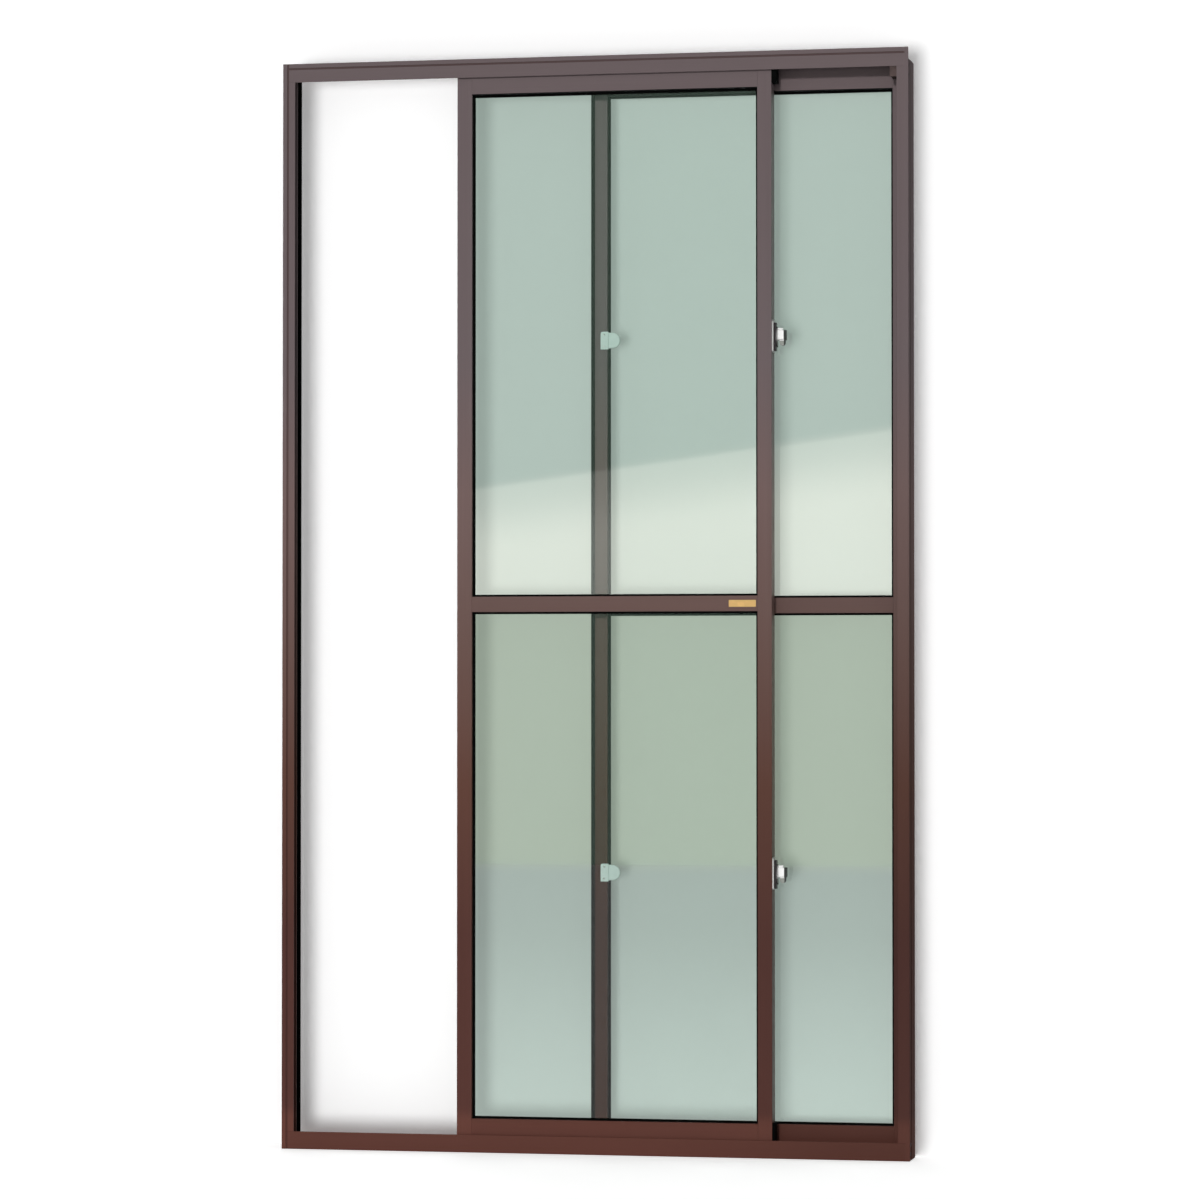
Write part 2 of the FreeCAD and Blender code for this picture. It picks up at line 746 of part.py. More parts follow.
def build():
    pieces = {
        "frame_head": frame_head(),
        "frame_sill": frame_sill(),
        "frame_jamb_left": frame_jamb(-1),
        "frame_jamb_right": frame_jamb(1),
        "left_jamb_seal": left_jamb_seal(),
        "left_jamb_bumper": left_jamb_bumper(),
        "right_stop_block": right_stop_block(),
    }
    jamb_stile = ("jamb", jamb_stile_face)
    pieces.update(leaf("front", front_leaf_left, -leaf_centre, 0.0, jamb_stile,
                       ("meeting", meeting_stile_face), track_height))
    pieces.update(leaf("rear", rear_leaf_left, leaf_centre, track_step,
                       ("meeting", rear_meeting_stile_face), jamb_stile, rear_track_height))
    pieces["front_leaf_head_cap"] = guide_cap(head_cap_reach, leaf_top - head_cap_height, leaf_top)
    pieces["front_leaf_sill_cap"] = guide_cap(sill_cap_reach, sill_cap_bottom,
                                              sill_cap_bottom + sill_cap_height)
    pieces["front_leaf_interlock"] = front_interlock()
    pieces["rear_leaf_pile_strip"] = rear_pile()
    for label, height in latch_heights.items():
        pieces[f"{label}_latch_plate"] = latch_plate(height)
        pieces[f"{label}_latch_crescent"] = crescent(height)
        pieces[f"{label}_keeper"] = keeper(height)
    pieces["front_leaf_bare_plate"] = bare_plate()
    return pieces


os.makedirs("parts", exist_ok=True)
for node, shape in build().items():
    assert shape.isValid(), node
    shape.exportStep(f"parts/{node}.step")
    bounds = shape.BoundBox
    span = f"x {bounds.XMin:.1f} {bounds.XMax:.1f} y {bounds.YMin:.1f} {bounds.YMax:.1f}"
    rise = f"z {bounds.ZMin:.1f} {bounds.ZMax:.1f}"
    print(f"{node}: {len(shape.Solids)} solids, {shape.Volume / 1000:.1f} cm3, {span} {rise}")
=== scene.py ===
import math

import bmesh
import bpy
from bpy.props import FloatProperty, FloatVectorProperty, IntProperty, PointerProperty
from mathutils import Matrix, Vector


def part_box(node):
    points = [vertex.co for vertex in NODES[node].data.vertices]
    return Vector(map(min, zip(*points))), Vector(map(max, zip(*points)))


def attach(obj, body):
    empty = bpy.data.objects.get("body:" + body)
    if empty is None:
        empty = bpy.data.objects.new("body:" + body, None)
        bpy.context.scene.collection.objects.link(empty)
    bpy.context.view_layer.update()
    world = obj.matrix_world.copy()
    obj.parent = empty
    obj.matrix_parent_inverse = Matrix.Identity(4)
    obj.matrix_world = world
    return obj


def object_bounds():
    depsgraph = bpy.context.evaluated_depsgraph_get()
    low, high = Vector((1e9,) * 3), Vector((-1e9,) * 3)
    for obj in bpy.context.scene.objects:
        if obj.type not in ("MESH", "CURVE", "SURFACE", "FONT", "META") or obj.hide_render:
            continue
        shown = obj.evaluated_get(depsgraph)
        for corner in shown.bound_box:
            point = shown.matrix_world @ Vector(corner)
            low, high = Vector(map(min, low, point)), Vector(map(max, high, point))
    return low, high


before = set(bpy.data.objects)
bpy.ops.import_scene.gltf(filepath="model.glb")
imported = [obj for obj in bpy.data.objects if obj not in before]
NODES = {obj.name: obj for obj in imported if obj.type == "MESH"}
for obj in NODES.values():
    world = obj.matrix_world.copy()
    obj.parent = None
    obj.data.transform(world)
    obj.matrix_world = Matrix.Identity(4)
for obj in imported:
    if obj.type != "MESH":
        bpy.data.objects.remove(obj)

bl_info = {
    "name": "Bronze Sliding Patio Door",
    "version": (1, 0, 0),
    "blender": (4, 5, 0),
    "location": "View3D > Sidebar > Patio Door",
    "description": "Finishes, fasteners and studio for a two-leaf sliding patio door",
    "category": "Object",
}

CAD_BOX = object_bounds()
LEAVES = ("front_leaf", "rear_leaf")
LATCHES = ("lower", "upper")
AXES = {"x": Vector((1, 0, 0)), "y": Vector((0, 1, 0)), "z": Vector((0, 0, 1))}

# Share of the frame's height at which each bronze of the settings stands; the ramp between them is
# partly painted reflection: the paler, greyer bronze up high stands in for light reflected from
# above
BRONZE_SHARES = {"bronze_sill": 0.03, "bronze_foot": 0.04, "bronze_low": 0.2, "bronze_knee": 0.335,
                 "bronze_middle": 0.47, "bronze_rise": 0.6, "bronze_head": 0.72}
# Depth in a face at which the painted shade of its trim groove starts, is full, thins out and ends
GROOVE_SHADE = (0.0004, 0.001, 0.0014, 0.0018)
# Painted shadow along a top rail's lower edge, black: its full height and where it has ended
RAIL_SHADOW_EDGE = (0.0013, 0.002)
# Painted shade: bronze level of each leaf at its foot, and of the front leaf's jamb stile
LEAF_FOOT_SHADES = (1.0, 0.8)
JAMB_STILE_FOOT_SHADE = 1.15

# Metres from a fitting's ends or edge to the centre of its screws
PLATE_SCREW_FROM_END = 0.0031
KEEPER_SCREW_FROM_END = 0.0057
KEEPER_SCREW_FROM_EDGE = 0.0067
CORNER_SCREWS_FROM_END = (0.012, 0.030)
CORNER_SCREW_Y = -0.024
JAMB_RECESS = 0.0008

# Rows of tufts: the first one's share of the strip's width, and the share that the rows span
PILE_ROWS = 4
PILE_FIRST_ROW = 0.27
PILE_SPAN = 0.46

# Lamps: the direction of the light, and the angle of the disc in degrees
SHEET_LIGHT = ((0.15, 1.0, 0.12), 21.0)
FRONT_LIGHT = ((0.05, 1.0, -0.27), 5.0)
REAR_LIGHT = ((0.3, -1.0, -0.45), 40.0)

# Daylight behind the panes, upwards: share of the frame's height, colour of the settings, level
DAYLIGHT = ((0.02, "outdoors", 1.25), (0.09, "outdoors", 1.1), (0.2, "outdoors", 0.88),
            (0.255, "outdoors", 0.84), (0.265, "garden", 1.0), (0.5, "garden", 1.0),
            (0.502, "outdoors", 1.0))
# Painted reflection of a window in the upper panes, a bright band: a point of its slanted upper
# edge, the slope, and its lower end
BAND_X = -0.253
BAND_Z = 1.279
BAND_SLOPE = 0.134
BAND_FOOT = (1.045, 1.05)

# Glow of the backdrop, what a pane before it adds, and the share of lamp light that the pane takes
SHEET_GLOW = 0.12
GLOW_THROUGH_PANE = 0.375
LIGHT_LOST_THROUGH_PANE = 0.4
# Glow of the floor, and what the camera's own rays add
FLOOR_GLOW = 0.12
FLOOR_GLOW_SEEN = 0.46

# Window that only mirrors: its plane, its slanted edge, and the heights at which its two steps fade
WINDOW_Y = -10.0
WINDOW_LEFT, WINDOW_RIGHT = -5, 2
WINDOW_LOW, WINDOW_HIGH = 1.25, 2.9
WINDOW_EDGE_X = -2.5
WINDOW_SLOPE = 0.133
WINDOW_FADES = ((1.735, 1.757), (1.45, 1.73))
WINDOW_GLOW = 1.3
# Level of the mirrored room behind the camera and of the far side
ROOM_LEVELS = (0.2, 0.35)


def low(node):
    return Vector(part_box(node)[0])


def high(node):
    return Vector(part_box(node)[1])


FRAME_TOP = high("frame_head").z
ROLLER_HALF = (high("front_leaf_left_roller").y - low("front_leaf_left_roller").y) / 2


# Shader maths

class Wire:
    """An output of a shader node that takes part in Python arithmetic."""

    def __init__(self, shading, socket):
        self.shading = shading
        self.socket = socket

    def math(self, operation, *values):
        inputs = dict(enumerate(values))
        return self.shading.node("ShaderNodeMath", {"operation": operation}, inputs)

    def __add__(self, other):
        return self.math("ADD", self, other)

    __radd__ = __add__

    def __sub__(self, other):
        return self.math("SUBTRACT", self, other)

    def __rsub__(self, other):
        return self.math("SUBTRACT", other, self)

    def __mul__(self, other):
        return self.math("MULTIPLY", self, other)

    __rmul__ = __mul__

    def __truediv__(self, other):
        return self.math("DIVIDE", self, other)

    def __rtruediv__(self, other):
        return self.math("DIVIDE", other, self)

    def __abs__(self):
        return self.math("ABSOLUTE", self)


class Shading:
    """A node tree that is written as Python expressions."""

    def __init__(self, owner):
        owner.use_nodes = True
        self.owner = owner
        self.tree = owner.node_tree
        self.tree.nodes.clear()

    def node(self, kind, settings=None, inputs=None, output=0):
        """Adds a node: its settings first, then the values or links of its sockets."""
        made = self.tree.nodes.new(kind)
        for key, value in (settings or {}).items():
            if key == "stops":
                ramp = made.color_ramp
                for index, (position, colour) in enumerate(value):
                    stop = ramp.elements[index] if index < 2 else ramp.elements.new(position)
                    stop.position = position
                    stop.color = (*colour, 1)
            else:
                setattr(made, key, value)
        for key, value in (inputs or {}).items():
            if isinstance(value, Wire):
                self.tree.links.new(value.socket, made.inputs[key])
            else:
                made.inputs[key].default_value = value
        return Wire(self, made.outputs[output]) if made.outputs else made

    def place(self):
        """Object coordinates as a vector, and apart as x, y and z."""
        point = self.node("ShaderNodeTexCoord", output="Object")
        parts = [self.node("ShaderNodeSeparateXYZ", inputs={0: point}, output=axis)
                 for axis in "XYZ"]
        return point, *parts

    def stretched(self, point, scale):
        return self.node("ShaderNodeMapping", inputs={"Vector": point, "Scale": scale})

    def noise(self, point, scale, detail=2.0, roughness=0.5):
        inputs = {"Vector": point, "Scale": scale, "Detail": detail, "Roughness": roughness}
        return self.node("ShaderNodeTexNoise", {"noise_dimensions": "3D"}, inputs)

    def rise(self, value, start, end, low_value=0.0, high_value=1.0):
        """Smooth step from low_value at start to high_value at end."""
        inputs = {"Value": value, "From Min": start, "From Max": end,
                  "To Min": low_value, "To Max": high_value}
        return self.node("ShaderNodeMapRange", {"interpolation_type": "SMOOTHSTEP"}, inputs)

    def mix(self, factor, first, second, blend="MIX"):
        first, second = ((*colour, 1) if isinstance(colour, tuple) else colour
                         for colour in (first, second))
        inputs = {0: factor, 6: first, 7: second}
        return self.node("ShaderNodeMix", {"data_type": "RGBA", "blend_type": blend}, inputs, 2)

    def grey(self, value):
        """A number as a grey colour."""
        return self.node("ShaderNodeCombineColor", inputs={0: value, 1: value, 2: value})

    def bump(self, height, strength, distance):
        inputs = {"Height": height, "Strength": strength, "Distance": distance}
        return self.node("ShaderNodeBump", inputs=inputs)

    def principled(self, **inputs):
        named = {key.replace("_", " "): value for key, value in inputs.items()}
        colour = named.get("Base Color")
        if isinstance(colour, tuple) and len(colour) == 3:
            named["Base Color"] = (*colour, 1)
        shader = self.node("ShaderNodeBsdfPrincipled", inputs=named)
        self.node("ShaderNodeOutputMaterial", inputs={"Surface": shader})
        return self.owner


def finish(name):
    return Shading(bpy.data.materials.new(name))


def shades(colour, amount):
    return tuple(min(1.0, channel * amount) for channel in colour[:3])


# Finishes

def drawn(axis, along, across):
    """Scales of a noise that runs along one axis."""
    return tuple(along if name == axis else across for name in "xyz")


def bronze(name, axis, foot_shade=1.0, right_level=1.0, metallic=0.3, specular=0.25, painted_sheen=0.0,
           edge=None):
    """Anodised extrusion: die lines along one axis, and a painted reflection that makes it paler
    and greyer towards the head.

    A painted sheen is a flat grey added to the colour in place of gloss. An edge is the height of a
    rail's lower edge, where a painted shadow makes the rail black.
    """
    look = settings().colours
    s = finish(name)
    point, x, y, z = s.place()
    lines = s.noise(s.stretched(point, drawn(axis, 5.0, 900.0)), 1.0, 3.0)
    bands = s.noise(s.stretched(point, drawn(axis, 1.2, 90.0)), 1.0, 2.0)
    cloud = s.noise(point, 2.6, 3.0)
    # Painted reflection: the bronze ramps with height, paler and greyer up high as if lit from
    # above
    stops = [(share, tuple(getattr(look, tone))) for tone, share in BRONZE_SHARES.items()]
    tone = s.node("ShaderNodeValToRGB", {"stops": stops}, {0: z / FRAME_TOP})
    streak = (lines - 0.5) * 0.1 + (bands - 0.5) * 0.14 + (cloud - 0.5) * 0.1
    # Painted shade: darker or lighter towards the foot, and darker towards the right
    level = s.rise(z, 0.3, 2.0, foot_shade, 1.0) * s.rise(x, 0.1, 0.6, 1.0, right_level)
    tone = s.mix(1.0, tone, s.grey((1.0 + streak) * level), "MULTIPLY")
    # Painted shade: the floor of the trim groove is darkened
    sunk = y - low("frame_head").y
    start, full, thinning, end = GROOVE_SHADE
    groove_shade = s.rise(sunk, start, full) * s.rise(sunk, thinning, end, 1.0, 0.0)
    tone = s.mix(groove_shade * 0.55, tone, shades(look.bronze_low, 0.6))
    # Painted shadow: the rail turns black just above its lower edge, where it meets the pane
    if edge is not None:
        black = s.rise(z, edge + RAIL_SHADOW_EDGE[0], edge + RAIL_SHADOW_EDGE[1], 1.0, 0.0)
        tone = s.mix(black, tone, tuple(look.rubber))
    # Painted sheen: a flat grey added in place of gloss
    if painted_sheen:
        tone = s.mix(1.0, tone, (painted_sheen, painted_sheen, painted_sheen), "ADD")
    rough = 0.42 + (bands - 0.5) * 0.14 + (lines - 0.5) * 0.06
    return s.principled(Base_Color=tone, Metallic=metallic, Roughness=rough,
                        Specular_IOR_Level=specular, Normal=s.bump(lines, 0.06, 0.0004))


def pale_green_glass():
    """Float glass: clear and faintly green, with a faint film and smears."""
    look = settings().colours
    s = finish("pale_green_glass")
    point, *_ = s.place()
    film = s.noise(s.stretched(point, (3.0, 3.0, 7.0)), 1.0, 4.0)
    smear = s.noise(s.stretched(point, (14.0, 14.0, 2.0)), 1.0, 3.0)
    tint = s.mix(film * 0.3, tuple(look.glass), shades(look.glass, 0.97))
    tint = s.mix(s.rise(smear, 0.55, 0.8) * 0.2, tint, shades(look.glass, 0.97))
    return s.principled(Base_Color=tint, Roughness=0.0, IOR=1.5, Transmission_Weight=1.0)


def black_rubber(name, colour):
    """Extruded gasket rubber with a dull bloom and a fine grain."""
    s = finish(name)
    point, *_ = s.place()
    bloom = s.noise(point, 35.0, 3.0)
    grain = s.noise(point, 1400.0, 2.0)
    tone = s.mix(s.rise(bloom, 0.4, 0.75), colour, shades(colour, 2.0))
    return s.principled(Base_Color=tone, Roughness=0.55 + bloom * 0.2, Specular_IOR_Level=0.04,
                        Normal=s.bump(grain, 0.15, 0.0003))


def brush_pile():
    """Dense black brush: fibres run across the strip, out of its backing."""
    look = settings().colours
    s = finish("brush_pile")
    point, *_ = s.place()
    fibres = s.noise(s.stretched(point, (60.0, 60.0, 2400.0)), 1.0, 2.0)
    tone = s.mix(s.rise(fibres, 0.35, 0.7), tuple(look.rubber), shades(look.rubber, 3.2))
    return s.principled(Base_Color=tone, Roughness=0.85, Specular_IOR_Level=0.15,
                        Sheen_Weight=0.12, Normal=s.bump(fibres, 0.5, 0.0006))


def white_nylon():
    """Moulded nylon wheel with faint spots and a grey track of wear in its groove."""
    look = settings().colours
    s = finish("white_nylon")
    point, _, y, _ = s.place()
    spots = s.noise(point, 260.0, 3.0)
    from_track = abs(abs(y) - high("front_leaf_left_roller").y - ROLLER_HALF)
    worn = s.rise(from_track, 0.0, 0.0028, 1.0, 0.0)
    tone = s.mix(worn * 0.7, tuple(look.nylon), shades(look.nylon, 0.45))
    tone = s.mix(s.rise(spots, 0.5, 0.8) * 0.25, tone, shades(look.nylon, 0.8))
    return s.principled(Base_Color=tone, Roughness=0.42 + spots * 0.1,
                        Subsurface_Weight=0.05, Normal=s.bump(spots, 0.1, 0.0003))


def zinc_plate(name, tone, roughness=0.34):
    """Plated steel with a mottled spangle and duller patches."""
    s = finish(name)
    point, *_ = s.place()
    cells = s.node("ShaderNodeTexVoronoi", {"feature": "F1"}, {"Vector": point, "Scale": 240.0},
                   "Distance")
    patches = s.noise(point, 60.0, 3.0)
    colour = s.mix(cells * 0.5, tone, shades(tone, 0.72))
    colour = s.mix(s.rise(patches, 0.5, 0.75) * 0.35, colour, shades(tone, 0.6))
    return s.principled(Base_Color=colour, Metallic=0.9, Roughness=roughness + patches * 0.12,
                        Normal=s.bump(cells, 0.06, 0.0003))


def satin_nickel():
    """Brushed plating of the keepers, with darker patches."""
    look = settings().colours
    s = finish("satin_nickel")
    point, *_ = s.place()
    lines = s.noise(s.stretched(point, (120.0, 120.0, 3000.0)), 1.0, 2.0)
    patches = s.noise(point, 90.0, 2.0)
    tone = s.mix(lines * 0.3, tuple(look.keeper), shades(look.keeper, 0.8))
    tone = s.mix(s.rise(patches, 0.55, 0.8) * 0.2, tone, shades(look.keeper, 0.6))
    return s.principled(Base_Color=tone, Metallic=0.25, Roughness=0.4 + lines * 0.12,
                        Normal=s.bump(lines, 0.08, 0.0003))


def latch_plate_finish():
    """Bright plate behind, black body in front: the change lies at the plate's thickness."""
    look = settings().colours
    s = finish("latch_plate_finish")
    point, x, _, _ = s.place()
    plate_front = low("lower_latch_plate").x + settings().sizes.plate_thickness
    body = s.rise(x, plate_front - 0.0001, plate_front + 0.0001)
    grain = s.noise(s.stretched(point, (400.0, 400.0, 90.0)), 1.0, 3.0)
    bright = s.mix(grain * 0.35, tuple(look.chrome), shades(look.chrome, 0.6))
    black = s.mix(grain, tuple(look.latch_body), shades(look.latch_body, 1.5))
    return s.principled(Base_Color=s.mix(body, bright, black), Metallic=0.95 - body * 0.9,
                        Roughness=0.28 + body * 0.16 + grain * 0.05,
                        Normal=s.bump(grain, 0.08, 0.0003))


def latch_chrome():
    """Casting painted near-white and hardly metallic, a painted reflection in place of polished
    chrome; darker at the lever's outer end, and a painted greenish-grey reflection on the lower
    tab.
    """
    look = settings().colours
    sizes = settings().sizes
    s = finish("latch_chrome")
    point, x, _, z = s.place()
    cap_start = high("lower_latch_crescent").x - sizes.lever_dark_end
    cap = s.rise(x, cap_start - 0.0002, cap_start + 0.0002)
    tab_top = [low(f"{latch}_latch_crescent").z + sizes.reflected_lever_tab for latch in LATCHES]
    on_tab = s.rise(z, tab_top[0] - 0.001, tab_top[0] + 0.001, 1.0, 0.0)
    split = (high("lower_latch_crescent").z + low("upper_latch_crescent").z) / 2
    above = s.rise(z, split, split + 0.001)
    on_upper_tab = above * s.rise(z, tab_top[1] - 0.001, tab_top[1] + 0.001, 1.0, 0.0)
    disc_end = low("lower_latch_crescent").x + sizes.crescent_disc
    disc = s.rise(x, disc_end - 0.0002, disc_end + 0.0002, 1.0, 0.0)
    swirl = s.noise(point, 60.0, 3.0)
    # Painted reflection: the near-white, almost unmetallic colour stands in for polished chrome
    tone = s.mix(swirl * 0.15, tuple(look.chrome), shades(look.chrome, 0.85))
    # Painted reflection: the greenish grey of the lower tabs
    tone = s.mix((on_tab + on_upper_tab) * 0.8, tone, tuple(look.reflected_lever_tab))
    # Darker at the lever's outer end
    tone = s.mix(cap, tone, tuple(look.lever_dark_end))
    tone = s.mix(disc * 0.9, tone, tuple(look.latch_body))
    return s.principled(Base_Color=tone, Metallic=0.08 + disc * 0.3,
                        Roughness=0.24 + swirl * 0.06 + cap * 0.2,
                        Normal=s.bump(swirl, 0.02, 0.0004))


def bare_gold():
    """Blank gold plate: fine brushing along its length, with brighter patches."""
    look = settings().colours
    s = finish("bare_gold")
    point, *_ = s.place()
    lines = s.noise(s.stretched(point, (60.0, 900.0, 2600.0)), 1.0, 3.0)
    patches = s.noise(point, 70.0, 2.0)
    tone = s.mix(lines * 0.6, tuple(look.gold), shades(look.gold, 0.68))
    tone = s.mix(s.rise(patches, 0.45, 0.7) * 0.3, tone, shades(look.gold, 1.25))
    return s.principled(Base_Color=tone, Metallic=0.3, Roughness=0.3 + lines * 0.15,
                        Normal=s.bump(lines, 0.12, 0.0003))


def cover(material, *nodes):
    for node in nodes:
        slots = NODES[node].material_slots
        if slots:
            for slot in slots:
                slot.material = material
        else:
            NODES[node].data.materials.append(material)


# Mesh tools

def new_piece(name, mesh, material, body):
    """Turns a bmesh into an object at the origin that rides on a body."""
    bmesh.ops.recalc_face_normals(mesh, faces=mesh.faces)
    data = bpy.data.meshes.new(name)
    mesh.to_mesh(data)
    mesh.free()
    data.materials.append(material)
    piece = bpy.data.objects.new(name, data)
    bpy.context.scene.collection.objects.link(piece)
    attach(piece, body)
    return piece


def upright_to(direction):
    """Rotation that turns +Z to a direction."""
    return Vector((0, 0, 1)).rotation_difference(direction).to_matrix().to_4x4()


def add_screw(mesh, centre, direction, radius, height):
    """A raised head with a rounded rim and a cross recess, standing on centre."""
    sizes = settings().sizes
    head = bmesh.new()
    bmesh.ops.create_cone(head, cap_ends=True, cap_tris=False,
                          segments=sizes.screw_segments,
                          radius1=radius, radius2=radius, depth=height,
                          matrix=Matrix.Translation((0, 0, height / 2)))
    rim = [edge for edge in head.edges if all(v.co.z > height * 0.9 for v in edge.verts)]
    bmesh.ops.bevel(head, geom=rim, offset=height * 0.55, offset_type="OFFSET", affect="EDGES",
                    segments=3, profile=0.5, material=-1, clamp_overlap=True)
    top = max(head.faces, key=lambda face: face.calc_center_median().z)
    bmesh.ops.inset_region(head, faces=[top], thickness=radius * 0.12)
    arm = radius * sizes.cross_width

    def flat_faces():
        """Faces of the flat top, inside the rim."""
        return [face for face in head.faces if face.normal.z > 0.99
                and all(v.co.xy.length < radius * 0.8 for v in face.verts)]

    for axis in ("x", "y"):
        for side in (-1, 1):
            inner = flat_faces()
            geometry = {*inner, *(edge for face in inner for edge in face.edges),
                        *(vert for face in inner for vert in face.verts)}
            bmesh.ops.bisect_plane(head, geom=list(geometry),
                                   plane_co=AXES[axis] * side * arm, plane_no=AXES[axis])
    cross = [face for face in flat_faces()
             if min(abs(face.calc_center_median().x), abs(face.calc_center_median().y)) < arm]
    sunk = bmesh.ops.extrude_face_region(head, geom=cross)
    bmesh.ops.delete(head, geom=cross, context="FACES_ONLY")
    floor = [item for item in sunk["geom"] if isinstance(item, bmesh.types.BMVert)]
    bmesh.ops.translate(head, verts=floor, vec=(0, 0, -height * 0.6))
    bmesh.ops.transform(head, matrix=Matrix.Translation(centre) @ upright_to(direction),
                        verts=head.verts)
    loose = bpy.data.meshes.new("screw_head")
    head.to_mesh(loose)
    head.free()
    mesh.from_mesh(loose)
    bpy.data.meshes.remove(loose)


# Properties

class PatioDoorColours(bpy.types.PropertyGroup):
    """Linear colours of the finishes."""
    # The bronzes ramp with height; their paler, greyer tones up high are a painted reflection of
    # light from above
    bronze_head: FloatVectorProperty(name="Bronze at the head", subtype="COLOR", min=0, max=1,
                                     description="Bronze near the top of the frame",
                                     default=(0.158, 0.123, 0.127))
    bronze_rise: FloatVectorProperty(name="Bronze above the middle", subtype="COLOR", min=0, max=1,
                                     description="Bronze a little above the middle rails",
                                     default=(0.176, 0.117, 0.111))
    bronze_middle: FloatVectorProperty(name="Bronze at the middle", subtype="COLOR", min=0, max=1,
                                       description="Bronze just under the middle rails",
                                       default=(0.142, 0.085, 0.074))
    bronze_knee: FloatVectorProperty(name="Bronze under the middle", subtype="COLOR", min=0, max=1,
                                     description="Bronze a third of the way up",
                                     default=(0.108, 0.047, 0.034))
    bronze_low: FloatVectorProperty(name="Bronze low down", subtype="COLOR", min=0, max=1,
                                    description="Bronze a fifth of the way up",
                                    default=(0.083, 0.032, 0.0255))
    bronze_foot: FloatVectorProperty(name="Bronze at the foot", subtype="COLOR", min=0, max=1,
                                     description="Bronze just over the bottom rails",
                                     default=(0.090, 0.034, 0.027))
    bronze_sill: FloatVectorProperty(name="Bronze at the sill", subtype="COLOR", min=0, max=1,
                                     description="Redder bronze of the sill and bottom rails",
                                     default=(0.126, 0.046, 0.034))
    glass: FloatVectorProperty(name="Glass", subtype="COLOR", min=0, max=1,
                               description="Light that one pane lets through",
                               default=(0.80, 0.90, 0.85))
    rubber: FloatVectorProperty(name="Rubber", subtype="COLOR", min=0, max=1,
                                description="Gaskets, seals and guides",
                                default=(0.0016, 0.0018, 0.0017))
    stop: FloatVectorProperty(name="Stop block", subtype="COLOR", min=0, max=1,
                              description="Brown rubber block at the right of the head",
                              default=(0.050, 0.036, 0.034))
    nylon: FloatVectorProperty(name="Nylon", subtype="COLOR", min=0, max=1,
                               description="Wheels", default=(0.62, 0.60, 0.54))
    zinc: FloatVectorProperty(name="Zinc", subtype="COLOR", min=0, max=1,
                              description="Wheel carriers and frame screws",
                              default=(0.46, 0.46, 0.47))
    # On the crescents this near-white is a painted reflection in place of polish; on the plates and
    # screws it is a metal's colour
    chrome: FloatVectorProperty(name="Chrome", subtype="COLOR", min=0, max=1,
                                description="Crescents and latch plates",
                                default=(0.94, 0.94, 0.93))
    latch_body: FloatVectorProperty(name="Latch body", subtype="COLOR", min=0, max=1,
                                    description="Black body of the latches",
                                    default=(0.016, 0.013, 0.014))
    # Painted reflection of the panes on the levers' lower tab
    reflected_lever_tab: FloatVectorProperty(name="Lever tab", subtype="COLOR", min=0, max=1,
                                   description="Grey lower tab of the levers",
                                   default=(0.12, 0.14, 0.11))
    # Colour of the darker outer end of the levers
    lever_dark_end: FloatVectorProperty(name="Lever cap", subtype="COLOR", min=0, max=1,
                                   description="Dark end of the levers",
                                   default=(0.03, 0.032, 0.03))
    keeper: FloatVectorProperty(name="Keeper", subtype="COLOR", min=0, max=1,
                                description="Satin nickel of the keepers",
                                default=(0.68, 0.76, 0.74))
    gold: FloatVectorProperty(name="Gold", subtype="COLOR", min=0, max=1,
                              description="Bare plate on the middle rail",
                              default=(0.79, 0.50, 0.185))
    backdrop: FloatVectorProperty(name="Backdrop", subtype="COLOR", min=0, max=1,
                                  description="Floor and backdrop", default=(1.0, 1.0, 1.0))
    outdoors: FloatVectorProperty(name="Outdoors", subtype="COLOR", min=0, max=1,
                                  description="Daylight that shows through the glass",
                                  default=(0.560, 0.594, 0.578))
    # Painted reflection: the colour of a window's bright band in the upper panes
    painted_reflection_band: FloatVectorProperty(name="Bright band", subtype="COLOR", min=0, max=1,
                                     description="Brighter daylight at the foot of the upper panes",
                                     default=(0.81, 0.775, 0.737))
    room_in_glass: FloatVectorProperty(name="Room in the glass", subtype="COLOR", min=0, max=1,
                                       description="Greenish room that the panes mirror",
                                       default=(0.36, 0.62, 0.44))
    garden: FloatVectorProperty(name="Garden", subtype="COLOR", min=0, max=1,
                                description="Greener daylight behind the lower panes",
                                default=(0.526, 0.541, 0.479))


